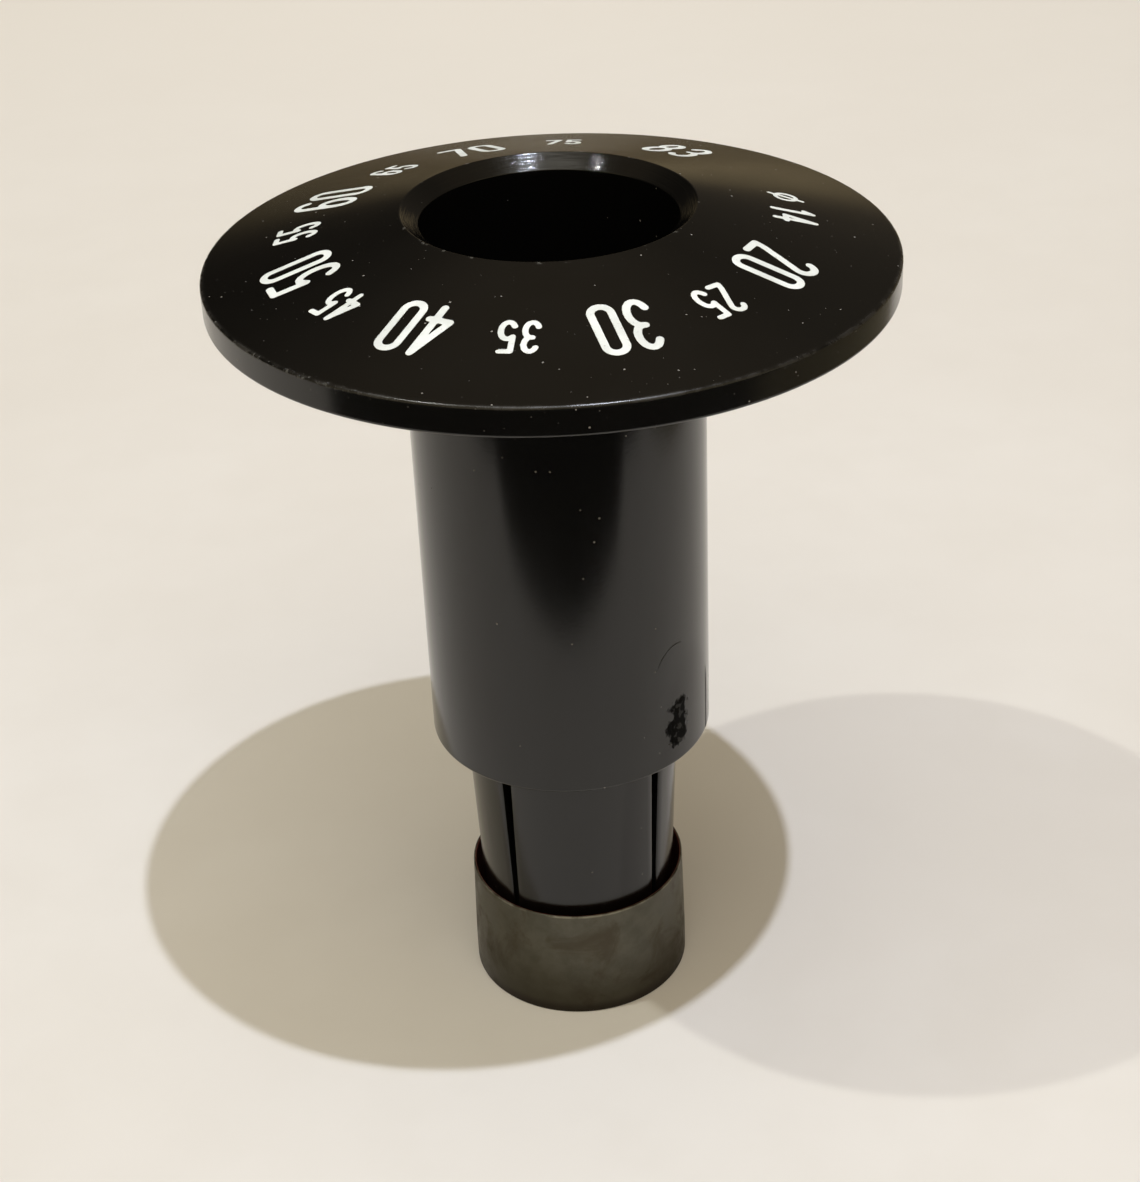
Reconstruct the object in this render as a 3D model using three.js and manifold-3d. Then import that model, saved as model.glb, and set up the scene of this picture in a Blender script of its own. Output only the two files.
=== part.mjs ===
// Dial column of a darkroom tank: a hollow black column with a broad, cone-faced dial on top and a
// four-fingered collet at its foot, held closed by a thin steel ring that slides on the fingers.
// Millimetres, +Z up. The origin is the centre of the face that the column stands on.
import * as THREE from "three";
import { mergeVertices } from "three/addons/utils/BufferGeometryUtils.js";
import Module from "manifold-3d";

const wasm = await Module();
wasm.setup();

// ---- Driving dimensions ----
const TOTAL_HEIGHT = 94.2;
const FIT_GAP = 0.3; // left between pieces that touch on the real object

const DIAL_RADIUS = 35;
const DIAL_RIM_THICKNESS = 3.1;
const DIAL_CONE_RISE = 5.1; // from the rim's top edge up to the throat's lip
const DIAL_EDGE_CHAMFER = 0.3;
const THROAT_LIP_RADIUS = 14.8;
const THROAT_CHAMFER_DEPTH = 1.3;
const DIAL_SOCKET_DEPTH = 5; // the barrel's upper end sits in this counterbore

const BARREL_RADIUS = 15.5;
const BORE_RADIUS = 13;
const BARREL_FOOT_Z = 33.5;
const BARREL_LIP_THICKNESS = 4.5; // the inward lip at the barrel's foot
const BARREL_EDGE_CHAMFER = 0.35;

const COLLET_RADIUS = 12;
const COLLET_BORE_RADIUS = 10.2;
const COLLET_COLLAR_HEIGHT = 12; // the collar inside the barrel, above the lip
const SLIT_TOP_Z = 36; // hidden in the barrel's lip
const SLIT_WIDTH = 1.4;
const FINGER_COUNT = 4;
const FINGER_TURN = 5; // degrees from +X to the middle of the first finger
const FINGER_LEAN = 1.3; // degrees that the ring holds each finger inwards
const FINGER_FOOT_Z = 0.4;
const FINGER_FOOT_RADIUS = 11.4; // with the finger straight: its outside tapers to this
const BEAD_RADIUS = 12.4; // the ridge round the finger's foot, with the finger straight
const BEAD_HEIGHT = 1.8;

const RING_HEIGHT = 13.8;
const RING_TOP_RADIUS = 12.25;
const RING_FOOT_RADIUS = 12.45;
const RING_WALL = 0.3;

const DIAL_SIDES = 72;
const TUBE_SIDES = 64;

// ---- Worked out from them ----
const DIAL_RIM_TOP_Z = TOTAL_HEIGHT - DIAL_CONE_RISE;
const DIAL_UNDERSIDE_Z = DIAL_RIM_TOP_Z - DIAL_RIM_THICKNESS;
const DIAL_SOCKET_TOP_Z = DIAL_UNDERSIDE_Z + DIAL_SOCKET_DEPTH;
const BARREL_LIP_TOP_Z = BARREL_FOOT_Z + BARREL_LIP_THICKNESS;
const COLLET_COLLAR_FOOT_Z = BARREL_LIP_TOP_Z + FIT_GAP;
const FINGER_TOP_Z = SLIT_TOP_Z - FIT_GAP;
const FINGER_PIVOT_RADIUS = (COLLET_RADIUS + COLLET_BORE_RADIUS) / 2;

// ---- Finishes ----
const blackPlastic = (roughness) =>
  new THREE.MeshStandardMaterial({ color: 0x0a0a0a, roughness, metalness: 0 });
const dialFinish = blackPlastic(0.45);
const tubeFinish = blackPlastic(0.22);
const ringFinish = new THREE.MeshStandardMaterial({
  color: 0x4a463a,
  roughness: 0.5,
  metalness: 0.8,
});

// A ring about +Z whose section is the closed outline given as [radius, z] pairs, counterclockwise.
function turned(outline, sides) {
  const points = [...outline, outline[0]].map(([radius, z]) => new THREE.Vector2(radius, z));
  return new THREE.LatheGeometry(points, sides).rotateX(Math.PI / 2);
}

function solid(geometry) {
  const bare = geometry.clone();
  bare.deleteAttribute("normal");
  bare.deleteAttribute("uv");
  const merged = mergeVertices(bare, 1e-4);
  return new wasm.Manifold(
    new wasm.Mesh({
      numProp: 3,
      vertProperties: merged.attributes.position.array,
      triVerts: new Uint32Array(merged.index.array),
    }),
  );
}

function geometryOf(manifold) {
  const mesh = manifold.getMesh();
  const geometry = new THREE.BufferGeometry();
  geometry.setAttribute("position", new THREE.BufferAttribute(mesh.vertProperties, 3));
  geometry.setIndex(new THREE.BufferAttribute(mesh.triVerts, 1));
  return geometry;
}

function piece(name, geometry, material) {
  const mesh = new THREE.Mesh(geometry, material);
  mesh.name = name;
  return mesh;
}

// The dial: a disc with a shallow cone for its face, a chamfered throat and a socket for the barrel.
function dial() {
  const socketRadius = BARREL_RADIUS + FIT_GAP;
  const outline = [
    [socketRadius, DIAL_UNDERSIDE_Z],
    [DIAL_RADIUS - DIAL_EDGE_CHAMFER, DIAL_UNDERSIDE_Z],
    [DIAL_RADIUS, DIAL_UNDERSIDE_Z + DIAL_EDGE_CHAMFER],
    [DIAL_RADIUS, DIAL_RIM_TOP_Z - DIAL_EDGE_CHAMFER],
    [DIAL_RADIUS - DIAL_EDGE_CHAMFER, DIAL_RIM_TOP_Z],
    [THROAT_LIP_RADIUS, TOTAL_HEIGHT],
    [BORE_RADIUS, TOTAL_HEIGHT - THROAT_CHAMFER_DEPTH],
    [BORE_RADIUS, DIAL_SOCKET_TOP_Z],
    [socketRadius, DIAL_SOCKET_TOP_Z],
  ];
  return piece("dial", turned(outline, DIAL_SIDES), dialFinish);
}

// The barrel: the wide tube, with an inward lip at its foot that holds up the collet's collar.
function barrel() {
  const topZ = DIAL_SOCKET_TOP_Z - FIT_GAP;
  const outline = [
    [COLLET_RADIUS + FIT_GAP, BARREL_FOOT_Z],
    [BARREL_RADIUS - BARREL_EDGE_CHAMFER, BARREL_FOOT_Z],
    [BARREL_RADIUS, BARREL_FOOT_Z + BARREL_EDGE_CHAMFER],
    [BARREL_RADIUS, topZ],
    [BORE_RADIUS, topZ],
    [BORE_RADIUS, BARREL_LIP_TOP_Z],
    [COLLET_RADIUS + FIT_GAP, BARREL_LIP_TOP_Z],
  ];
  return piece("barrel", turned(outline, TUBE_SIDES), tubeFinish);
}

// The collet's upper part: a collar inside the barrel and a short neck going down into the lip.
function colletSleeve() {
  const collarRadius = BORE_RADIUS - FIT_GAP;
  const collarTopZ = COLLET_COLLAR_FOOT_Z + COLLET_COLLAR_HEIGHT;
  const leadIn = 0.8; // the bevel that leads the spindle out of the wide bore into the narrow one
  const outline = [
    [COLLET_BORE_RADIUS, SLIT_TOP_Z],
    [COLLET_RADIUS, SLIT_TOP_Z],
    [COLLET_RADIUS, COLLET_COLLAR_FOOT_Z],
    [collarRadius, COLLET_COLLAR_FOOT_Z],
    [collarRadius, collarTopZ],
    [COLLET_BORE_RADIUS + leadIn, collarTopZ],
    [COLLET_BORE_RADIUS, collarTopZ - leadIn],
  ];
  return piece("collet_sleeve", turned(outline, TUBE_SIDES), tubeFinish);
}

// One straight finger along +X: a quarter of the tapered tube, cut square along the slits.
function straightFinger() {
  const beadTopZ = FINGER_FOOT_Z + BEAD_HEIGHT;
  const beadFlatZ = FINGER_FOOT_Z + BEAD_HEIGHT / 2;
  const outline = [
    [COLLET_BORE_RADIUS, FINGER_FOOT_Z],
    [BEAD_RADIUS, FINGER_FOOT_Z],
    [BEAD_RADIUS, beadFlatZ],
    [FINGER_FOOT_RADIUS, beadTopZ],
    [COLLET_RADIUS, FINGER_TOP_Z],
    [COLLET_BORE_RADIUS, FINGER_TOP_Z],
  ];
  const tube = solid(turned(outline, TUBE_SIDES));
  const side = 2 * COLLET_RADIUS;
  const quarter = new THREE.BoxGeometry(side, side, TOTAL_HEIGHT)
    .translate(side / 2, side / 2, TOTAL_HEIGHT / 2)
    .rotateZ(-Math.PI / FINGER_COUNT)
    .translate(SLIT_WIDTH / Math.SQRT2, 0, 0);
  return tube.intersect(solid(quarter));
}

// The four fingers, each leaning inwards about its own root.
function colletFingers() {
  const geometry = geometryOf(straightFinger())
    .translate(-FINGER_PIVOT_RADIUS, 0, -SLIT_TOP_Z)
    .rotateY(THREE.MathUtils.degToRad(FINGER_LEAN))
    .translate(FINGER_PIVOT_RADIUS, 0, SLIT_TOP_Z);
  const fingers = new THREE.Group();
  for (let i = 0; i < FINGER_COUNT; i += 1) {
    const finger = piece(`collet_finger_${i + 1}`, geometry, tubeFinish);
    finger.rotation.z = THREE.MathUtils.degToRad(FINGER_TURN + (360 / FINGER_COUNT) * i);
    fingers.add(finger);
  }
  return fingers;
}

// The steel ring round the fingers' feet, a little wider at its foot.
function clampRing() {
  const outline = [
    [RING_FOOT_RADIUS - RING_WALL, 0],
    [RING_FOOT_RADIUS, 0],
    [RING_TOP_RADIUS, RING_HEIGHT],
    [RING_TOP_RADIUS - RING_WALL, RING_HEIGHT],
  ];
  return piece("clamp_ring", turned(outline, TUBE_SIDES), ringFinish);
}

const column = new THREE.Group();
column.add(dial(), barrel(), colletSleeve(), colletFingers(), clampRing());

export default column;
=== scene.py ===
"""The looks of the darkroom tank's dial column: Blender 4.5, metres, in the CAD model's frame.

Shapes are written in millimetres and scaled once, when a mesh is made.
"""

import math

import bpy
import numpy as np
from mathutils import Matrix, Vector


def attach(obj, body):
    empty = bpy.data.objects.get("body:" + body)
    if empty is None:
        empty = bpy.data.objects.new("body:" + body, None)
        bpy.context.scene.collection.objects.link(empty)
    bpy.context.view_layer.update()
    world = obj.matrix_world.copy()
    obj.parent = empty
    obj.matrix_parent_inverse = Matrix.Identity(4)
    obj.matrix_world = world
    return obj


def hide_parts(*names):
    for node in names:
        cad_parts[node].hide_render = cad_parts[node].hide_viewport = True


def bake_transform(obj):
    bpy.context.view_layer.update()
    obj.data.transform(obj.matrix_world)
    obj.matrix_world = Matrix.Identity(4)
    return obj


MM = 0.001

# ---- The object's dimensions, in millimetres, as the CAD model has them ----
TOTAL_HEIGHT = 94.2
DIAL_RADIUS = 35.0
DIAL_UNDERSIDE_Z = 86.0
DIAL_RIM_TOP_Z = 89.1
DIAL_EDGE_CHAMFER = 0.3
THROAT_LIP_RADIUS = 14.8
BORE_RADIUS = 13.0
THROAT_CHAMFER_FOOT_Z = 92.9
DIAL_SOCKET_TOP_Z = 91.0
BARREL_RADIUS = 15.5
BARREL_FOOT_Z = 33.5
BARREL_LIP_TOP_Z = 38.0
COLLET_RADIUS = 12.0
COLLET_BORE_RADIUS = 10.2
COLLET_COLLAR_FOOT_Z = 38.3
COLLET_COLLAR_TOP_Z = 50.3
SLIT_TOP_Z = 36.0
SLIT_WIDTH = 1.4
FINGER_COUNT = 4
FINGER_TURN = 5.0
FINGER_LEAN = 1.3
FINGER_PIVOT_RADIUS = 11.1
FINGER_FOOT_Z = 0.42
FINGER_FOOT_RADIUS = 11.4
BEAD_RADIUS = 12.35
BEAD_TOP_Z = 2.2
FLEX_START_Z = 37.4  # the finger bends between this height and the next
FLEX_END_Z = 34.6
RING_HEIGHT = 13.8
RING_TOP_RADIUS = 12.2
RING_FOOT_RADIUS = 12.43
RING_WALL = 0.28
RING_FLARE_Z = 3.5  # the ring widens slightly down to here and is straight below
RING_FLARE_FILLET = 1.5

CONE_SLOPE = (TOTAL_HEIGHT - DIAL_RIM_TOP_Z) / (
    DIAL_RADIUS - DIAL_EDGE_CHAMFER - THROAT_LIP_RADIUS
)
DIAL_SOCKET_RADIUS = BARREL_RADIUS + 0.03
BARREL_TOP_Z = DIAL_SOCKET_TOP_Z - 0.01
BARREL_LIP_RADIUS = COLLET_RADIUS + 0.3
COLLAR_RADIUS = BORE_RADIUS - 0.05
COLLAR_LEAD_IN = 0.8

# ---- How finely the meshes are cut ----
WIDE_SIDES = 256
NARROW_SIDES = 192
FILLET_STEPS = 4
FILLET_GUARD = 0.06  # how far outside a fillet its guard points stand
SHARP_ANGLE = 50  # degrees

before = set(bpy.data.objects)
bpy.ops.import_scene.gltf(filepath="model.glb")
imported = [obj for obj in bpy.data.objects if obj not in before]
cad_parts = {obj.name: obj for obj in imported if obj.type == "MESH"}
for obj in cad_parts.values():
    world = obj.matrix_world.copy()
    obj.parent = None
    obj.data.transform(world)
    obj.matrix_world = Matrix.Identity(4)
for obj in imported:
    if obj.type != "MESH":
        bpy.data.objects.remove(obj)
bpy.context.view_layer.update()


# ---------------------------------------------------------------------------------------------
# Meshes
# ---------------------------------------------------------------------------------------------


def make_object(name, verts, faces):
    """A smooth-shaded mesh object from points in millimetres."""
    mesh = bpy.data.meshes.new(name)
    mesh.from_pydata([tuple(c * MM for c in v) for v in verts], [], faces)
    mesh.validate()
    mesh.polygons.foreach_set("use_smooth", [True] * len(mesh.polygons))
    mesh.update()
    obj = bpy.data.objects.new(name, mesh)
    bpy.context.collection.objects.link(obj)
    return obj


def rounded(outline):
    """A closed outline of (r, z, fillet) corners, as points.

    Each corner becomes an arc with one guard point just outside each end of it, so that smooth
    shading stays flat on the long sides. A corner without a fillet stays sharp.
    """
    points = []
    count = len(outline)
    for i, (r, z, fillet) in enumerate(outline):
        here = np.array([r, z], float)
        if fillet == 0:
            points.append(here)
            continue
        before = np.array(outline[i - 1][:2], float) - here
        after = np.array(outline[(i + 1) % count][:2], float) - here
        reach = min(np.linalg.norm(before), np.linalg.norm(after)) * 0.45
        before /= np.linalg.norm(before)
        after /= np.linalg.norm(after)
        corner = math.acos(max(-1.0, min(1.0, float(before @ after))))
        trim = min(fillet / math.tan(corner / 2), reach)
        radius = trim * math.tan(corner / 2)
        inward = (before + after) / np.linalg.norm(before + after)
        centre = here + inward * radius / math.sin(corner / 2)
        start = here + before * trim
        end = here + after * trim
        points.append(start + before * min(FILLET_GUARD, reach * 0.5))
        a0 = math.atan2(*(start - centre)[::-1])
        a1 = math.atan2(*(end - centre)[::-1])
        sweep = (a1 - a0 + math.pi) % (2 * math.pi) - math.pi
        for k in range(FILLET_STEPS + 1):
            a = a0 + sweep * k / FILLET_STEPS
            points.append(centre + radius * np.array([math.cos(a), math.sin(a)]))
        points.append(end + after * min(FILLET_GUARD, reach * 0.5))
    return points


def turned(name, outline, sides):
    """A ring about Z whose section is the closed outline, counterclockwise in (r, z)."""
    section = rounded(outline)
    n = len(section)
    verts = []
    for k in range(sides):
        a = 2 * math.pi * k / sides
        verts += [(r * math.cos(a), r * math.sin(a), z) for r, z in section]
    faces = []
    for k in range(sides):
        here = k * n
        there = (k + 1) % sides * n
        for i in range(n):
            j = (i + 1) % n
            faces.append((here + i, there + i, there + j, here + j))
    obj = make_object(name, verts, faces)
    obj.data.set_sharp_from_angle(angle=math.radians(SHARP_ANGLE))
    return obj


def cone_z(r):
    """Height of the dial's face at radius r."""
    return TOTAL_HEIGHT - (r - THROAT_LIP_RADIUS) * CONE_SLOPE


# ---- The dial ----

dial = turned(
    "dial_body",
    [
        (DIAL_SOCKET_RADIUS, DIAL_UNDERSIDE_Z, 0.12),
        (DIAL_RADIUS, DIAL_UNDERSIDE_Z, 0.35),
        (DIAL_RADIUS, cone_z(DIAL_RADIUS), 0.32),
        (THROAT_LIP_RADIUS, TOTAL_HEIGHT, 0.18),
        (BORE_RADIUS, THROAT_CHAMFER_FOOT_Z, 0.15),
        (BORE_RADIUS, DIAL_SOCKET_TOP_Z, 0),
        (DIAL_SOCKET_RADIUS, DIAL_SOCKET_TOP_Z, 0.05),
    ],
    WIDE_SIDES,
)

# ---- The barrel ----

barrel = turned(
    "barrel_tube",
    [
        (BARREL_LIP_RADIUS, BARREL_FOOT_Z, 0.15),
        (BARREL_RADIUS, BARREL_FOOT_Z, 0.35),
        (BARREL_RADIUS, BARREL_TOP_Z, 0.1),
        (BORE_RADIUS, BARREL_TOP_Z, 0),
        (BORE_RADIUS, BARREL_LIP_TOP_Z, 0.2),
        (BARREL_LIP_RADIUS, BARREL_LIP_TOP_Z, 0.1),
    ],
    WIDE_SIDES,
)

# ---- The collet ----

sleeve = turned(
    "collet_collar",
    [
        (COLLET_BORE_RADIUS, SLIT_TOP_Z, 0.05),
        (COLLET_RADIUS, SLIT_TOP_Z, 0.05),
        (COLLET_RADIUS, COLLET_COLLAR_FOOT_Z, 0.1),
        (COLLAR_RADIUS, COLLET_COLLAR_FOOT_Z, 0.1),
        (COLLAR_RADIUS, COLLET_COLLAR_TOP_Z, 0.2),
        (COLLET_BORE_RADIUS + COLLAR_LEAD_IN, COLLET_COLLAR_TOP_Z, 0.15),
        (COLLET_BORE_RADIUS, COLLET_COLLAR_TOP_Z - COLLAR_LEAD_IN, 0.3),
    ],
    NARROW_SIDES,
)


def smoothstep(t):
    t = min(max(t, 0.0), 1.0)
    return t * t * (3 - 2 * t)


FINGER_EDGE = 0.16  # bevel of the finger's long edges
FINGER_ARC_STEPS = 12  # on each side of the finger's middle
BEAD_SLOPE_HEIGHT = 0.8


def finger_outside(z):
    """Radius of a straight finger's outside at height z: a slight taper, a ridge at the foot."""
    up = (z - BEAD_TOP_Z) / (SLIT_TOP_Z - BEAD_TOP_Z)
    body = FINGER_FOOT_RADIUS + (COLLET_RADIUS - FINGER_FOOT_RADIUS) * up
    return body + (BEAD_RADIUS - body) * smoothstep((BEAD_TOP_Z - z) / BEAD_SLOPE_HEIGHT)


def finger_section(z, inset):
    """One level of a straight finger along +X: points round its closed section."""
    half_slit = SLIT_WIDTH / 2 + inset
    outer = finger_outside(z) - inset
    inner = COLLET_BORE_RADIUS + inset
    bevel_middle = FINGER_EDGE * 0.3

    def arc(radius, gap, steps):
        # An arc that ends where the slit's side face cuts it, `gap` further in.
        reach = math.pi / 4 - math.asin((half_slit + gap) / radius)
        angles = [reach * k / steps for k in range(-steps, steps + 1)]
        return [(radius * math.cos(a), radius * math.sin(a)) for a in angles]

    outside = arc(outer, FINGER_EDGE, FINGER_ARC_STEPS)
    corner_out = arc(outer - bevel_middle, bevel_middle, 1)
    side_out = arc(outer - FINGER_EDGE, 0.0, 1)
    side_in = arc(inner + FINGER_EDGE, 0.0, 1)
    corner_in = arc(inner + bevel_middle, bevel_middle, 1)
    inside = arc(inner, FINGER_EDGE, FINGER_ARC_STEPS)
    return (
        outside
        + [corner_out[-1], side_out[-1], side_in[-1], corner_in[-1]]
        + inside[::-1]
        + [corner_in[0], side_in[0], side_out[0], corner_out[0]]
    )


def lean(x, y, z):
    """Where a point of the straight finger goes when the ring holds the finger in."""
    weight = smoothstep((FLEX_START_Z - z) / (FLEX_START_Z - FLEX_END_Z))
    a = math.radians(FINGER_LEAN) * weight
    dx, dz = x - FINGER_PIVOT_RADIUS, z - SLIT_TOP_Z
    return (
        FINGER_PIVOT_RADIUS + dx * math.cos(a) + dz * math.sin(a),
        y,
        SLIT_TOP_Z + dz * math.cos(a) - dx * math.sin(a),
    )


def make_finger(index):
    turn = math.radians(FINGER_TURN + 360 / FINGER_COUNT * index)
    cos, sin = math.cos(turn), math.sin(turn)
    foot = FINGER_FOOT_Z
    # (height, inset): the bevel at the foot, the ridge, then the long body up to the root.
    levels = [(foot, 0.12), (foot + 0.035, 0.035), (foot + 0.12, 0.0)]
    levels += [(z, 0.0) for z in np.linspace(foot + 0.3, BEAD_TOP_Z, 9)]
    levels += [(z, 0.0) for z in np.linspace(BEAD_TOP_Z + 0.4, SLIT_TOP_Z - 0.02, 34)]
    verts = []
    for z, inset in levels:
        for point in finger_section(z, inset):
            x, y, z_leaning = lean(*point, z)
            verts.append((x * cos - y * sin, x * sin + y * cos, z_leaning))
    n = len(verts) // len(levels)
    faces = []
    for k in range(len(levels) - 1):
        for i in range(n):
            j = (i + 1) % n
            faces.append((k * n + i, k * n + j, (k + 1) * n + j, (k + 1) * n + i))
    # Each end is a strip of quads from the outside to the inside, and a small face at each corner.
    last = n - 1
    arc_points = 2 * FINGER_ARC_STEPS + 1
    end_faces = [(i, i + 1, last - 5 - i, last - 4 - i) for i in range(arc_points - 1)]
    end_faces.append(tuple(range(arc_points - 1, arc_points + 5)))
    end_faces.append((*range(last - 4, last + 1), 0))
    top = (len(levels) - 1) * n
    faces += [face[::-1] for face in end_faces]
    faces += [tuple(top + i for i in face) for face in end_faces]
    return make_object(f"collet_finger_{index + 1}_looks", verts, faces)


fingers = [make_finger(i) for i in range(FINGER_COUNT)]

# ---- The clamp ring ----

ring = turned(
    "clamp_ring_steel",
    [
        (RING_FOOT_RADIUS - RING_WALL, 0.0, 0.1),
        (RING_FOOT_RADIUS, 0.0, 0.14),
        (RING_FOOT_RADIUS, RING_FLARE_Z, RING_FLARE_FILLET),
        (RING_TOP_RADIUS, RING_HEIGHT, 0.09),
        (RING_TOP_RADIUS - RING_WALL, RING_HEIGHT, 0.09),
        (RING_FOOT_RADIUS - RING_WALL, RING_FLARE_Z, RING_FLARE_FILLET),
    ],
    NARROW_SIDES,
)

# ---------------------------------------------------------------------------------------------
# The figures: white paint in engraved strokes, set into the dial's face
# ---------------------------------------------------------------------------------------------


SIGN = "o"  # stands for the diameter sign in the list of figures
FULL_OVAL = 26  # points on a closed oval


def arc_line(cx, cy, rx, ry, start, end, steps=14):
    """Points along an ellipse, angles in degrees, counterclockwise from the right."""
    return [
        (cx + rx * math.cos(math.radians(a)), cy + ry * math.sin(math.radians(a)))
        for a in np.linspace(start, end, steps)
    ]


def stroke_lines(character, w, h):
    """The centre lines of an engraved figure in a box from (0, 0) to (w, h)."""
    r = w / 2
    if character == "0":
        return [arc_line(r, h - r, r, r, 0, 180) + arc_line(r, r, r, r, 180, 360) + [(w, h - r)]]
    if character == "1":
        return [[(0.18 * w, 0.80 * h), (0.62 * w, h), (0.62 * w, 0)]]
    if character == "2":
        hook = arc_line(r, h - r, r, r, 172, -28)
        return [hook + [(0.12 * w, 0.16 * h), (0, 0)], [(0, 0), (w, 0)]]
    if character == "3":
        top = arc_line(r, 0.755 * h, r * 0.94, 0.245 * h, 155, -80)
        foot = arc_line(r, 0.262 * h, r, 0.262 * h, 84, -155)
        waist = (0.40 * w, 0.52 * h)
        return [top, [top[-1], waist], foot, [waist, foot[0]]]
    if character == "4":
        bar = 0.27 * h
        return [[(0.74 * w, 0), (0.74 * w, h), (-0.03 * w, bar), (1.06 * w, bar)]]
    if character == "5":
        bowl = arc_line(0.47 * w, 0.29 * h, 0.53 * w, 0.29 * h, 118, -150)
        inner_corner = (0.06 * w, 0.50 * h)
        return [[(0.92 * w, h), (0.10 * w, h), inner_corner], [inner_corner] + bowl]
    if character == "6":
        bowl = arc_line(r, 0.28 * h, r, 0.28 * h, 180, 540, FULL_OVAL)
        hook = arc_line(r, h - r, r, r, 22, 180)
        return [bowl, hook + [(0, 0.28 * h)]]
    if character == "7":
        return [[(0, h), (w, h), (0.34 * w, 0)]]
    if character == "8":
        foot = arc_line(r, 0.275 * h, r, 0.275 * h, 0, 360, FULL_OVAL)
        return [foot, arc_line(r, 0.765 * h, 0.88 * r, 0.235 * h, 0, 360, FULL_OVAL)]
    # The diameter sign.
    oval = arc_line(r, 0.5 * h, r, 0.30 * h, 0, 360, FULL_OVAL)
    return [oval, [(0.05 * w, 0.08 * h), (0.95 * w, 0.92 * h)]]


# A style is (height, width of one figure, pitch, stroke).
BIG = (7.3, 2.72, 3.28, 0.77)
SMALL = (4.6, 1.82, 2.22, 0.58)
SIGN_STYLE = (4.0, 2.4, 2.5, 0.44)
# (text, degrees clockwise from +Y, radius of its centre, style)
FIGURES = [
    (SIGN, 77.4, 24.7, SIGN_STYLE),
    ("14", 89.4, 24.4, SMALL),
    ("20", 119.8, 24.5, BIG),
    ("25", 142.2, 24.9, SMALL),
    ("30", 165.1, 25.2, BIG),
    ("35", 187.2, 25.5, SMALL),
    ("40", 209.3, 25.6, BIG),
    ("45", 231.2, 25.7, SMALL),
    ("50", 251.4, 25.6, BIG),
    ("55", 274.6, 25.4, SMALL),
    ("60", 295.4, 24.6, BIG),
    ("65", 318.0, 24.2, SMALL),
    ("70", 340.7, 24.2, BIG),
    ("75", 4.4, 24.7, SMALL),
    ("83", 34.3, 25.0, BIG),
]
FIGURE_CELL = 0.13  # size of the grid that the outlines are cut on
FIGURE_PROUD = 0.02
FIGURE_DEPTH = 0.25
NEAR_ZERO = 1e-5


def text_segments(text, height, width, pitch):
    """All strokes of a number centred on the origin, as an array of line segments."""
    segments = []
    left = -(pitch * (len(text) - 1) + width) / 2
    for k, character in enumerate(text):
        for line in stroke_lines(character, width, height):
            shifted = [(left + pitch * k + x, y - height / 2) for x, y in line]
            segments += list(zip(shifted[:-1], shifted[1:]))
    return np.array(segments)


def distance_to(segments, points):
    """Distance from each point to the nearest of the line segments."""
    best = np.full(len(points), 1e9)
    for a, b in segments:
        along = b - a
        t = np.clip((points - a) @ along / max(along @ along, 1e-12), 0, 1)
        best = np.minimum(best, np.linalg.norm(points - a - t[:, None] * along, axis=1))
    return best


def figure_patch(text, height, width, pitch, stroke):
    """Flat points and faces that fill the strokes of a number, cut along their rounded outline."""
    body = height - stroke
    segments = text_segments(text, body, width - stroke, pitch)
    half = np.abs(segments).reshape(-1, 2).max(0) + stroke
    nx, ny = (np.ceil(2 * half / FIGURE_CELL)).astype(int) + 1
    xs = np.linspace(-half[0], half[0], nx)
    ys = np.linspace(-half[1], half[1], ny)
    grid = np.stack(np.meshgrid(xs, ys), -1).reshape(-1, 2)
    value = distance_to(segments, grid) - stroke / 2
    value[np.abs(value) < NEAR_ZERO] = NEAR_ZERO
    points, index, faces = [], {}, []

    def corner(i):
        if i not in index:
            index[i] = len(points)
            points.append(grid[i])
        return index[i]

    def crossing(i, j):
        key = (min(i, j), max(i, j))
        if key not in index:
            t = value[i] / (value[i] - value[j])
            index[key] = len(points)
            points.append(grid[i] + (grid[j] - grid[i]) * t)
        return index[key]

    for row in range(ny - 1):
        for column in range(nx - 1):
            i = row * nx + column
            cell = (i, i + 1, i + 1 + nx, i + nx)
            if all(value[c] > 0 for c in cell):
                continue
            face = []
            for a, b in zip(cell, cell[1:] + cell[:1]):
                if value[a] < 0:
                    face.append(corner(a))
                if (value[a] < 0) != (value[b] < 0):
                    face.append(crossing(a, b))
            if len(face) > 2:
                faces.append(tuple(face))
    return np.array(points), faces


def make_figure(text, azimuth, radius, style):
    """One number: a thin closed solid whose face follows the dial's cone."""
    flat, patch = figure_patch(text, *style)
    a = math.radians(90 - azimuth)
    outward = np.array([math.cos(a), math.sin(a)])
    right = np.array([math.sin(a), -math.cos(a)])
    plan = outward * radius + flat[:, :1] * right + flat[:, 1:] * outward
    face_z = np.array([cone_z(r) for r in np.linalg.norm(plan, axis=1)])
    n = len(plan)
    verts = [(x, y, z + FIGURE_PROUD) for (x, y), z in zip(plan, face_z)]
    verts += [(x, y, z - FIGURE_DEPTH) for (x, y), z in zip(plan, face_z)]
    edges = dict.fromkeys(edge for face in patch for edge in zip(face, face[1:] + face[:1]))
    faces = list(patch) + [tuple(n + i for i in face[::-1]) for face in patch]
    faces += [(j, i, n + i, n + j) for i, j in edges if (j, i) not in edges]
    name = "dial_diameter_sign" if text == SIGN else f"dial_figure_{text}"
    obj = make_object(name, verts, faces)
    # The walls are flat-shaded, so the paint reads as an inlay.
    for polygon in obj.data.polygons:
        polygon.use_smooth = abs(polygon.normal.z) > 0.5
    return obj


figures = [make_figure(*figure) for figure in FIGURES]

# ---------------------------------------------------------------------------------------------
# Materials
# ---------------------------------------------------------------------------------------------


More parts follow.
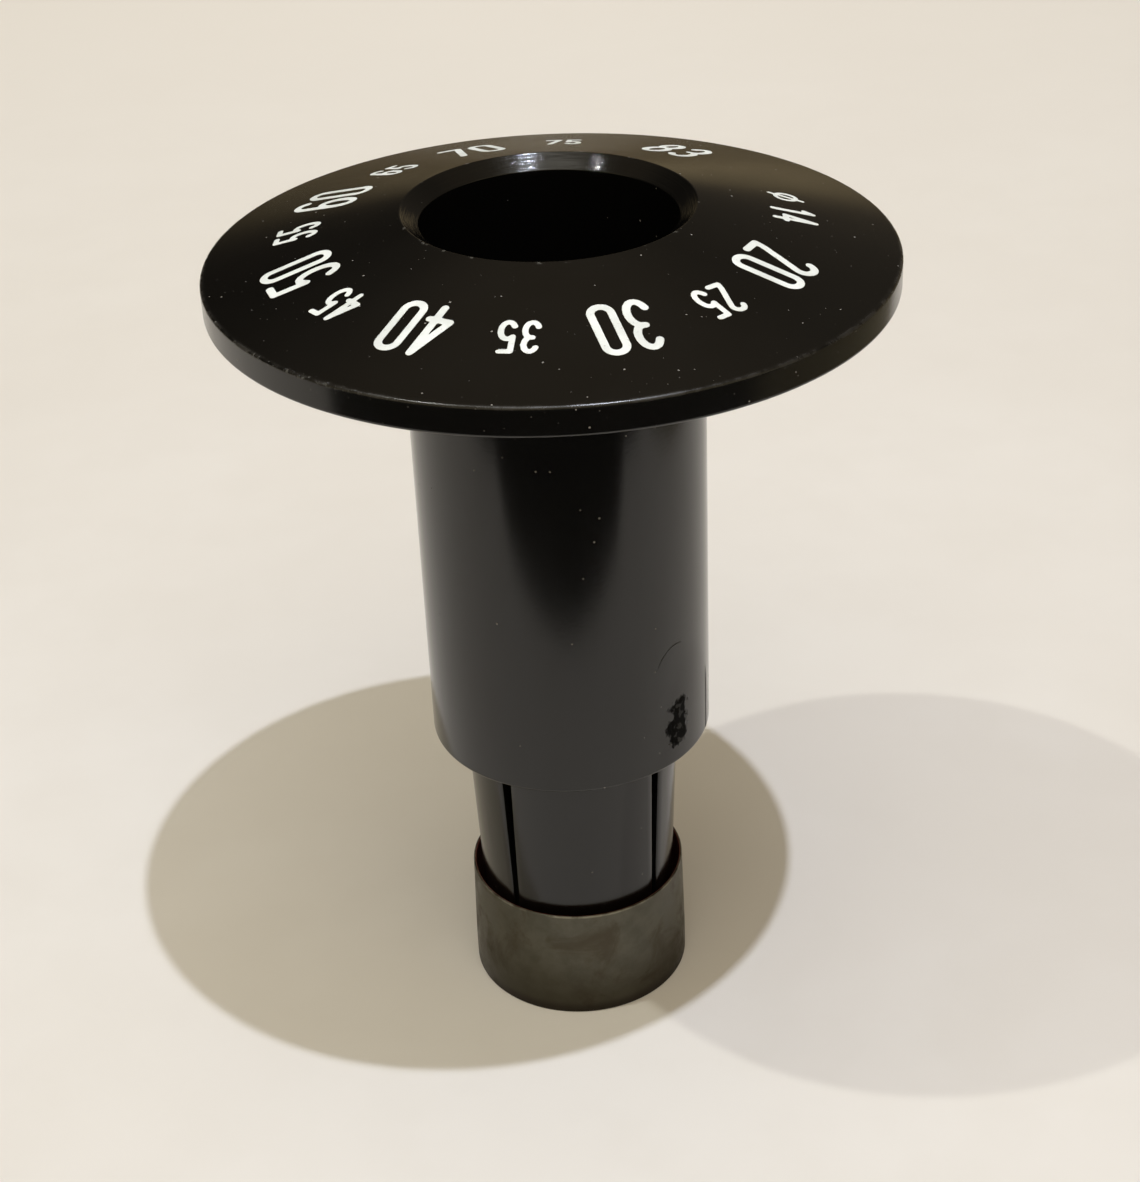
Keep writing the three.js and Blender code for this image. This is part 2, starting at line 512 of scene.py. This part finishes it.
class Nodes:
    """A material's node tree, with short calls for the nodes that the finishes use."""

    def __init__(self, name):
        self.material = bpy.data.materials.new(name)
        self.material.use_nodes = True
        self.tree = self.material.node_tree
        self.shader = self.tree.nodes["Principled BSDF"]
        self.place = self.tree.nodes.new("ShaderNodeTexCoord").outputs["Object"]
        split = self.tree.nodes.new("ShaderNodeSeparateXYZ")
        self.link(self.place, split.inputs[0])
        self.x, self.y, self.z = split.outputs

    def link(self, source, socket):
        if isinstance(source, (int, float)):
            socket.default_value = source
        elif isinstance(source, tuple):
            socket.default_value = (*source, 1.0) if len(source) == 3 else source
        else:
            self.tree.links.new(source, socket)

    def math(self, operation, a, b=0.0):
        node = self.tree.nodes.new("ShaderNodeMath")
        node.operation = operation
        self.link(a, node.inputs[0])
        self.link(b, node.inputs[1])
        return node.outputs[0]

    def add(self, a, b):
        return self.math("ADD", a, b)

    def times(self, a, b):
        return self.math("MULTIPLY", a, b)

    def span(self, value, low, high, out_low=0.0, out_high=1.0):
        """value from low..high mapped smoothly onto out_low..out_high."""
        node = self.tree.nodes.new("ShaderNodeMapRange")
        node.interpolation_type = "SMOOTHSTEP"
        self.link(value, node.inputs["Value"])
        self.link(low, node.inputs["From Min"])
        self.link(high, node.inputs["From Max"])
        self.link(out_low, node.inputs["To Min"])
        self.link(out_high, node.inputs["To Max"])
        return node.outputs[0]

    def near(self, value, target, inner, outer):
        """1 where value is within `inner` of the target, fading to 0 at `outer`."""
        return self.span(self.math("ABSOLUTE", self.add(value, -target)), inner, outer, 1.0, 0.0)

    def noise(self, scale, detail=3.0, rough=0.55, at=None, distortion=0.0):
        node = self.tree.nodes.new("ShaderNodeTexNoise")
        self.link(at if at is not None else self.place, node.inputs["Vector"])
        node.inputs["Scale"].default_value = scale
        node.inputs["Detail"].default_value = detail
        node.inputs["Roughness"].default_value = rough
        node.inputs["Distortion"].default_value = distortion
        return node.outputs["Fac"]

    def stretched(self, sx, sy, sz):
        node = self.tree.nodes.new("ShaderNodeMapping")
        self.link(self.place, node.inputs["Vector"])
        node.inputs["Scale"].default_value = (sx, sy, sz)
        return node.outputs[0]

    def vector(self, x, y, z):
        node = self.tree.nodes.new("ShaderNodeCombineXYZ")
        for value, socket in zip((x, y, z), node.inputs):
            self.link(value, socket)
        return node.outputs[0]

    def mix(self, fac, a, b):
        node = self.tree.nodes.new("ShaderNodeMix")
        node.data_type = "RGBA"
        node.clamp_factor = True
        self.link(fac, node.inputs[0])
        self.link(a, node.inputs[6])
        self.link(b, node.inputs[7])
        return node.outputs[2]

    def radius(self):
        return self.length(self.x, self.y)

    def length(self, u, v):
        return self.math("SQRT", self.add(self.times(u, u), self.times(v, v)))

    def turn(self):
        """Angle about Z, in degrees counterclockwise from +X."""
        return self.times(self.math("ARCTAN2", self.y, self.x), 180 / math.pi)

    def specks(self, cell, size, share):
        """Scattered round dots of different sizes, in a share of the cells of a jittered grid.

        The cell and the dot's mean radius are in millimetres.
        """
        node = self.tree.nodes.new("ShaderNodeTexVoronoi")
        self.link(self.place, node.inputs["Vector"])
        node.inputs["Scale"].default_value = 1 / (cell * MM)
        pick = self.tree.nodes.new("ShaderNodeSeparateColor")
        self.link(node.outputs["Color"], pick.inputs[0])
        own_size = self.add(self.times(pick.outputs[1], 0.9), 0.5)
        reach = self.math("DIVIDE", node.outputs["Distance"], own_size)
        dot = self.span(reach, size / cell * 0.6, size / cell, 1.0, 0.0)
        return self.times(dot, self.math("LESS_THAN", pick.outputs[0], share))

    def oval(self, u, v, u0, v0, ru, rv):
        """0 at (u0, v0), growing to 1 on the oval with half axes ru and rv."""
        du = self.times(self.add(u, -u0), 1 / ru)
        dv = self.times(self.add(v, -v0), 1 / rv)
        return self.length(du, dv)

    def bump(self, height, distance, strength=1.0, under=None):
        node = self.tree.nodes.new("ShaderNodeBump")
        self.link(height, node.inputs["Height"])
        node.inputs["Distance"].default_value = distance
        node.inputs["Strength"].default_value = strength
        if under is not None:
            self.link(under, node.inputs["Normal"])
        return node.outputs[0]

    def finish(self, color, roughness, normal=None, metallic=0.0):
        self.link(color, self.shader.inputs["Base Color"])
        self.link(roughness, self.shader.inputs["Roughness"])
        self.link(metallic, self.shader.inputs["Metallic"])
        self.shader.inputs["IOR"].default_value = 1.5
        if normal is not None:
            self.link(normal, self.shader.inputs["Normal"])
        return self.material


BLACK = (0.0018, 0.0017, 0.0015)
DUST = (0.30, 0.28, 0.25)
WORN = (0.060, 0.054, 0.046)
CHIPPED = (0.11, 0.105, 0.09)
# Where the dial's edge is chipped, on its left near side, in metres.
CHIPS_AT = (-0.0245, -0.0245)
CHIPS_REACH = 0.012


def dial_plastic():
    n = Nodes("dial_black_plastic")
    radius = n.radius()
    # Turned on a lathe: fine rings that differ only with the distance from the axis.
    by_radius = n.vector(n.times(radius, 9000.0), n.times(n.z, 900.0), 0.0)
    rings = n.noise(1.0, 2.0, 0.6, at=by_radius)
    grain = n.noise(2600.0, 2.0)
    cloud = n.noise(70.0, 3.0)
    dust = n.specks(1.2, 0.10, 0.32)
    fine_dust = n.specks(0.6, 0.05, 0.20)
    edge = n.span(radius, (DIAL_RADIUS - 0.5) * MM, (DIAL_RADIUS - 0.1) * MM)
    rim_top = n.near(n.z, (DIAL_RIM_TOP_Z - 0.1) * MM, 0.00008, 0.00032)
    edge = n.times(edge, rim_top)
    worn = n.times(edge, n.span(n.noise(420.0, 4.0, 0.65), 0.30, 0.72))
    by_chips = n.oval(n.x, n.y, *CHIPS_AT, CHIPS_REACH, CHIPS_REACH)
    by_chips = n.span(by_chips, 0.3, 1.0, 1.0, 0.0)
    chips = n.span(n.noise(1900.0, 4.0, 0.7), 0.55, 0.64)
    chipped = n.times(n.times(edge, by_chips), chips)
    lip = n.near(radius, THROAT_LIP_RADIUS * MM, 0.0001, 0.0004)
    nicked = n.times(lip, n.span(n.noise(520.0, 3.0, 0.6), 0.60, 0.68))
    marks = n.math("MAXIMUM", chipped, nicked)
    dusty = n.math("MAXIMUM", n.times(dust, 0.75), n.times(fine_dust, 0.35))
    base = n.mix(cloud, BLACK, (0.0032, 0.0029, 0.0024))
    base = n.mix(n.times(worn, 0.38), base, WORN)
    base = n.mix(n.times(marks, 0.6), base, CHIPPED)
    base = n.mix(dusty, base, DUST)
    rough = n.span(cloud, 0.3, 0.75, 0.155, 0.215)
    rough = n.add(rough, n.times(n.math("MAXIMUM", worn, marks), 0.22))
    rough = n.add(rough, n.times(dust, 0.4))
    normal = n.bump(n.add(n.times(rings, 0.8), n.times(grain, 0.35)), 0.00001, 0.55)
    normal = n.bump(marks, 0.00004, 0.6, normal)
    return n.finish(base, rough, normal)


def throat_plastic():
    """The chamfer: never handled, so glossier than the face, with the rings of its cutting."""
    n = Nodes("throat_black_plastic")
    turn = n.turn()
    by_turn = n.vector(n.times(turn, 1.3), n.times(n.z, 120.0), 0.0)
    ticks = n.noise(1.0, 2.0, 0.6, at=by_turn)
    by_radius = n.vector(n.times(n.radius(), 7000.0), n.times(turn, 0.02), 0.0)
    rings = n.noise(1.0, 2.0, 0.6, at=by_radius)
    dust = n.specks(1.6, 0.07, 0.15)
    base = n.mix(n.times(dust, 0.7), BLACK, DUST)
    rough = n.add(n.span(ticks, 0.35, 0.65, 0.07, 0.13), n.times(dust, 0.4))
    normal = n.bump(rings, 0.00006, 0.8, n.bump(ticks, 0.00001, 0.2))
    return n.finish(base, rough, normal)


# Marks low on the barrel's front right. A place is (turn in degrees from +X, height in metres),
# and a size is an oval's half axes in the same units.
SMEAR_AT = (-42.4, 0.0387)
SMEAR_SIZE = (6.5, 0.0037)
ARC_AT = (-43.5, 0.0440)
ARC_SIZE = (12.0, 0.0047)
SCRATCH_AT = (-16.6, 0.0365)


def barrel_plastic():
    n = Nodes("barrel_black_plastic")
    turn = n.turn()
    grain = n.noise(2200.0, 2.0)
    cloud = n.noise(90.0, 3.0, at=n.stretched(1.0, 1.0, 0.35))
    dust = n.specks(1.5, 0.10, 0.45)
    # A matt, dead black smear with broken edges. Being metallic there takes its reflection away.
    ragged = n.times(n.add(n.noise(620.0, 4.0, 0.65), -0.5), 2.1)
    smear = n.add(n.oval(turn, n.z, *SMEAR_AT, *SMEAR_SIZE), ragged)
    smear = n.span(smear, 0.70, 0.98, 1.0, 0.0)
    dead_black = n.times(smear, n.span(n.noise(1100.0, 3.0), 0.40, 0.48))
    # A thin arc of a scratch above it, the upper left part of an oval.
    arc = n.near(n.oval(turn, n.z, *ARC_AT, *ARC_SIZE), 1.0, 0.014, 0.034)
    arc = n.times(arc, n.span(n.z, 0.0460, 0.0472))
    arc = n.times(arc, n.span(turn, -44.0, -37.0, 1.0, 0.0))
    # An upright scratch beside it, down to the barrel's foot.
    scratch_turn, scratch_z = SCRATCH_AT
    scratch = n.near(turn, scratch_turn, 0.4, 1.1)
    scratch = n.times(scratch, n.near(n.z, scratch_z, 0.0035, 0.0060))
    base = n.mix(cloud, BLACK, (0.0028, 0.0027, 0.0025))
    base = n.mix(smear, base, (0.0012, 0.0011, 0.0010))
    base = n.mix(n.times(dust, 0.55), base, DUST)
    matt = n.math("MAXIMUM", smear, n.math("MAXIMUM", n.times(arc, 0.8), scratch))
    rough = n.add(n.span(cloud, 0.3, 0.75, 0.115, 0.165), n.times(matt, 0.62))
    normal = n.bump(grain, 0.00001, 0.25)
    normal = n.bump(n.add(dead_black, scratch), 0.00004, 0.6, normal)
    return n.finish(base, rough, normal, metallic=dead_black)


def collet_plastic():
    n = Nodes("collet_black_plastic")
    grain = n.noise(2200.0, 2.0)
    cloud = n.noise(160.0, 3.0, at=n.stretched(1.0, 1.0, 0.3))
    rubbed = n.noise(900.0, 3.0, at=n.stretched(1.0, 1.0, 0.06))
    dust = n.specks(1.4, 0.08, 0.22)
    base = n.mix(cloud, BLACK, (0.0036, 0.0034, 0.0031))
    base = n.mix(n.times(dust, 0.5), base, DUST)
    rough = n.add(n.span(cloud, 0.3, 0.75, 0.14, 0.20), n.span(rubbed, 0.55, 0.75, 0.0, 0.10))
    return n.finish(base, rough, n.bump(n.add(grain, n.times(rubbed, 0.6)), 0.00001, 0.35))


def ring_steel(inside):
    n = Nodes("ring_steel_inside" if inside else "ring_steel")
    stain = n.noise(150.0, 5.0, 0.62, distortion=0.6)
    mottle = n.noise(420.0, 4.0, 0.6)
    fine = n.noise(3000.0, 2.0, at=n.stretched(1.0, 1.0, 0.25))
    if inside:
        # Rusty and dull.
        base = n.mix(n.span(stain, 0.40, 0.62), (0.240, 0.080, 0.066), (0.300, 0.140, 0.100))
        rough = n.span(mottle, 0.3, 0.7, 0.55, 0.75)
        metal = 0.35
    else:
        # Olive grey with brown stains, darker towards the foot, and lighter along the top edge:
        # partly rubbed metal, partly a painted highlight.
        stained = n.span(stain, 0.50, 0.66)
        low = n.span(n.z, 0.0, 0.0095, 1.0, 0.0)
        lowest = n.span(n.z, 0.0004, 0.0016, 1.0, 0.0)
        # The top edge: rubbed metal, and a painted highlight where its top face catches the light.
        top = n.span(n.z, (RING_HEIGHT - 0.28) * MM, (RING_HEIGHT - 0.06) * MM)
        rubbed = n.times(top, n.span(mottle, 0.40, 0.60))
        base = n.mix(n.span(mottle, 0.32, 0.70), (0.078, 0.073, 0.055), (0.110, 0.104, 0.081))
        base = n.mix(n.times(stained, 0.45), base, (0.066, 0.048, 0.030))
        base = n.mix(n.times(low, 0.75), base, (0.040, 0.034, 0.022))
        base = n.mix(n.times(lowest, 0.7), base, (0.016, 0.011, 0.008))
        # Painted highlight and rubbed metal along the top edge.
        base = n.mix(n.times(rubbed, 0.7), base, (0.33, 0.31, 0.25))
        rough = n.add(n.span(mottle, 0.3, 0.7, 0.34, 0.50), n.times(stained, 0.18))
        metal = 0.85
    normal = n.bump(n.add(n.times(mottle, 0.7), n.times(fine, 0.3)), 0.00003, 0.5)
    return n.finish(base, rough, normal, metallic=metal)


def figure_paint():
    n = Nodes("figure_white_paint")
    soft = n.noise(260.0, 3.0)
    grit = n.noise(1900.0, 3.0, 0.6)
    base = n.mix(n.span(soft, 0.35, 0.7), (0.80, 0.82, 0.78), (0.66, 0.68, 0.64))
    base = n.mix(n.times(n.span(grit, 0.62, 0.74), 0.5), base, (0.34, 0.33, 0.30))
    return n.finish(base, n.span(grit, 0.3, 0.7, 0.42, 0.58), n.bump(grit, 0.00002, 0.4))


def give(obj, *materials):
    for material in materials:
        obj.data.materials.append(material)


barrel_material = barrel_plastic()
give(barrel, barrel_material)
FACE_SLOT, CHAMFER_SLOT, BORE_SLOT = range(3)
give(dial, dial_plastic(), throat_plastic(), barrel_material)
for polygon in dial.data.polygons:
    radius = polygon.center.xy.length / MM
    if radius >= THROAT_LIP_RADIUS - 0.03 or polygon.center.z <= DIAL_SOCKET_TOP_Z * MM:
        polygon.material_index = FACE_SLOT
    elif radius > BORE_RADIUS + 0.02:
        polygon.material_index = CHAMFER_SLOT
    else:
        polygon.material_index = BORE_SLOT
collet_material = collet_plastic()
for obj in [sleeve, *fingers]:
    give(obj, collet_material)
paint = figure_paint()
for obj in figures:
    give(obj, paint)
OUTSIDE_SLOT, INSIDE_SLOT = range(2)
give(ring, ring_steel(inside=False), ring_steel(inside=True))
for polygon in ring.data.polygons:
    faces_in = polygon.normal.xy.dot(polygon.center.xy) < -0.0001 * polygon.center.xy.length
    polygon.material_index = INSIDE_SLOT if faces_in else OUTSIDE_SLOT

# ---------------------------------------------------------------------------------------------
# Floor, light and camera
# ---------------------------------------------------------------------------------------------

# Metres from here on, and watts.
FLOOR_HALF = 4.0
FLOOR_DROP = 0.00005  # keeps the floor out of the ring's lowest face


def rectangle(x0, y0, x1, y1):
    return [(x0, y0), (x1, y0), (x1, y1), (x0, y1)]


def flat_sheet(name, corners, z_mm):
    """A level face from (x, y) corners in metres, at a height in millimetres."""
    verts = [(x / MM, y / MM, z_mm) for x, y in corners]
    return make_object(name, verts, [tuple(range(len(verts)))])


def floor_material():
    n = Nodes("floor_pale")
    broad = n.noise(9.0, 4.0, 0.6)
    soft = n.noise(60.0, 3.0)
    base = n.mix(n.span(broad, 0.35, 0.65), (0.745, 0.705, 0.650), (0.777, 0.742, 0.694))
    base = n.mix(n.times(n.span(soft, 0.4, 0.7), 0.3), base, (0.722, 0.683, 0.628))
    # Paler far behind the object.
    base = n.mix(n.span(n.y, 0.0, 0.5), base, (0.815, 0.785, 0.748))
    n.shader.inputs["Specular IOR Level"].default_value = 0.0
    return n.finish(base, 0.8, n.bump(soft, 0.0002, 0.15))


floor = flat_sheet("floor", rectangle(-FLOOR_HALF, -FLOOR_HALF, FLOOR_HALF, FLOOR_HALF), 0.0)
floor.location.z = -FLOOR_DROP
give(floor, floor_material())


def light_object(name, kind, location, watts, color):
    light = bpy.data.lights.new(name, kind)
    light.energy = watts
    light.color = color
    obj = bpy.data.objects.new(name, light)
    obj.location = location
    bpy.context.collection.objects.link(obj)
    return obj


def lamp(name, location, watts, radius, color):
    obj = light_object(name, "POINT", location, watts, color)
    obj.data.shadow_soft_size = radius


def softbox(name, location, target, watts, width, height, color):
    obj = light_object(name, "AREA", location, watts, color)
    obj.data.shape = "RECTANGLE"
    obj.data.size, obj.data.size_y = width, height
    obj.rotation_mode = "QUATERNION"
    obj.rotation_quaternion = (Vector(target) - Vector(location)).to_track_quat("-Z", "Y")
    return obj


COOL_WHITE = (0.79, 0.85, 1.0)
WHITE = (0.93, 0.95, 0.89)
WARM_WHITE = (1.0, 0.96, 0.90)
lamp("lamp_right", (0.085, -0.121, 0.621), watts=8.5, radius=0.0045, color=COOL_WHITE)
lamp("lamp_left", (-0.308, -0.081, 0.739), watts=4.75, radius=0.0060, color=WHITE)
FRONT_PLACE = (0.15, -1.5, 2.3)
softbox("soft_front", FRONT_PLACE, (0, 0, 0), watts=12.0, width=1.8, height=1.2, color=WARM_WHITE)
# Evens out the table beyond the object: no shadow and no reflection of its own.
BACK_X, BACK_Y, BACK_Z = 0.0, 0.62, 0.50
wash = softbox(
    "wash_back",
    (BACK_X, BACK_Y, BACK_Z),
    (BACK_X, BACK_Y, 0.0),
    watts=0.8,
    width=0.3,
    height=0.3,
    color=WARM_WHITE,
)
wash.data.use_shadow = False
wash.visible_glossy = False

# The room, by direction. (sine of the elevation, radiance) of the half behind the object:
ROOM_BACK = [
    (0.0, (0.36, 0.28, 0.16)),
    (0.12, (0.31, 0.24, 0.135)),
    (0.17, (0.085, 0.070, 0.052)),
    (0.60, (0.100, 0.082, 0.058)),
    (0.82, (0.190, 0.150, 0.098)),
    (0.94, (0.24, 0.20, 0.14)),
    (0.985, (1.9, 1.8, 1.55)),
]
ROOM_FRONT = (0.50, 0.42, 0.26)
LOW_LEFT_DIMMING = 0.26
PALE_WALL = (0.46, 0.41, 0.33)

world = bpy.data.worlds.new("room")
world.use_nodes = True
bpy.context.scene.world = world
tree = world.node_tree


def join(source, socket):
    tree.links.new(source, socket)


def map_range(value, low, high, interpolation):
    node = tree.nodes.new("ShaderNodeMapRange")
    node.interpolation_type = interpolation
    join(value, node.inputs["Value"])
    node.inputs["From Min"].default_value = low
    node.inputs["From Max"].default_value = high
    return node


def color_mix(factor, first, second):
    """A mix of a socket's colour and a plain one."""
    node = tree.nodes.new("ShaderNodeMix")
    node.data_type = "RGBA"
    join(factor, node.inputs[0])
    join(first, node.inputs[6])
    node.inputs[7].default_value = (*second, 1)
    return node.outputs[2]


split = tree.nodes.new("ShaderNodeSeparateXYZ")
join(tree.nodes.new("ShaderNodeTexCoord").outputs["Generated"], split.inputs[0])
rightward, backward, upward = split.outputs
ramp = tree.nodes.new("ShaderNodeValToRGB")
join(upward, ramp.inputs[0])
ramp.color_ramp.interpolation = "EASE"
stops = ramp.color_ramp.elements
while len(stops) < len(ROOM_BACK):
    stops.new(0.5)
for stop, (position, color) in zip(stops, ROOM_BACK):
    stop.position = position
    stop.color = (*color, 1)
# Low down, the left of the room behind is dimmer than the right.
low_only = map_range(upward, 0.45, 0.75, "LINEAR")
low_only.inputs["To Min"].default_value = LOW_LEFT_DIMMING
side = map_range(rightward, -0.32, 0.05, "SMOOTHSTEP")
join(low_only.outputs[0], side.inputs["To Min"])
dimmed = tree.nodes.new("ShaderNodeVectorMath")
dimmed.operation = "SCALE"
join(ramp.outputs[0], dimmed.inputs[0])
join(side.outputs[0], dimmed.inputs["Scale"])
facing = map_range(backward, 0.15, -0.45, "SMOOTHSTEP")
room = color_mix(facing.outputs[0], dimmed.outputs[0], ROOM_FRONT)
# Seen directly, past the end of the table, it is a plain pale wall.
is_camera_ray = tree.nodes.new("ShaderNodeLightPath").outputs["Is Camera Ray"]
join(color_mix(is_camera_ray, room, PALE_WALL), tree.nodes["Background"].inputs["Color"])


def matt(obj, dark, light):
    n = Nodes(obj.name)
    give(obj, n.finish(n.mix(n.noise(20.0), dark, light), 0.9))


def reflected_card(name, corners, z_mm, dark, light):
    """A card just above the table, out of the picture and seen only in reflections."""
    card = flat_sheet(name, corners, z_mm)
    matt(card, dark, light)
    card.visible_camera = False
    card.visible_diffuse = False
    card.visible_shadow = False
    card.visible_transmission = False


# The dark near side of the room, the right end of the table, and its far end.
FRONT_EDGE = [(0.03, -0.101), (0.08, -0.097), (0.115, -0.104), (0.165, -0.062), (1.5, -0.30)]
FRONT_CORNERS = [(-1.5, -1.8), (1.5, -1.8)] + FRONT_EDGE[::-1] + [(-x, y) for x, y in FRONT_EDGE]
reflected_card("card_front", FRONT_CORNERS, 0.4, (0.006, 0.006, 0.006), (0.010, 0.009, 0.008))
RIGHT_CORNERS = rectangle(0.153, -0.10, 1.5, 0.47)
reflected_card("card_right", RIGHT_CORNERS, 0.5, (0.15, 0.125, 0.07), (0.20, 0.165, 0.095))
BACK_CORNERS = rectangle(-3.5, 0.48, 3.5, 3.5)
reflected_card("card_back", BACK_CORNERS, 0.4, (0.13, 0.103, 0.066), (0.25, 0.20, 0.125))

# A shade inside the bore, which keeps lamp light from coming out through the slits at the back.
SHADE_SECTION = [(0.5, 60.0, 0.1), (12.5, 60.0, 0.1), (12.5, 61.0, 0.1), (0.5, 61.0, 0.1)]
shade = turned("bore_shade", SHADE_SECTION, 48)
matt(shade, BLACK, BLACK)
shade.visible_camera = False
shade.visible_glossy = False
shade.visible_diffuse = False
shade.visible_transmission = False

CAMERA_PLACE = (0.0, -0.2106, 0.1757)
CAMERA_PAN = 0.0021  # radians, as are the next two
CAMERA_PITCH = 0.5402
CAMERA_ROLL = -0.0441
CAMERA_LENS = 68.46
CAMERA_SENSOR = 36.0

forward = Vector(
    (
        math.sin(CAMERA_PAN) * math.cos(CAMERA_PITCH),
        math.cos(CAMERA_PAN) * math.cos(CAMERA_PITCH),
        -math.sin(CAMERA_PITCH),
    )
)
level_right = Vector((math.cos(CAMERA_PAN), -math.sin(CAMERA_PAN), 0.0))
level_up = level_right.cross(forward)
right = level_right * math.cos(CAMERA_ROLL) + level_up * math.sin(CAMERA_ROLL)
up = level_up * math.cos(CAMERA_ROLL) - level_right * math.sin(CAMERA_ROLL)
camera_data = bpy.data.cameras.new("camera")
camera_data.lens = CAMERA_LENS
camera_data.sensor_width = CAMERA_SENSOR
camera_data.clip_start = 0.01
camera = bpy.data.objects.new("camera", camera_data)
rotation = Matrix((right, up, -forward)).transposed().to_4x4()
camera.matrix_world = Matrix.Translation(CAMERA_PLACE) @ rotation
bpy.context.collection.objects.link(camera)
bpy.context.scene.camera = camera
bpy.context.scene.view_settings.view_transform = "Standard"

# ---------------------------------------------------------------------------------------------
# What each piece rides on and stands for
# ---------------------------------------------------------------------------------------------

for figure in figures:
    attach(figure, "column")
for piece, body, node in (
    (dial, "column", "dial"),
    (barrel, "column", "barrel"),
    (sleeve, "column", "collet_sleeve"),
    (ring, "ring", "clamp_ring"),
):
    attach(piece, body)
    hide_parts(node)
for i, finger in enumerate(fingers):
    node = f"collet_finger_{i + 1}"
    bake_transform(finger)
    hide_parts(node)
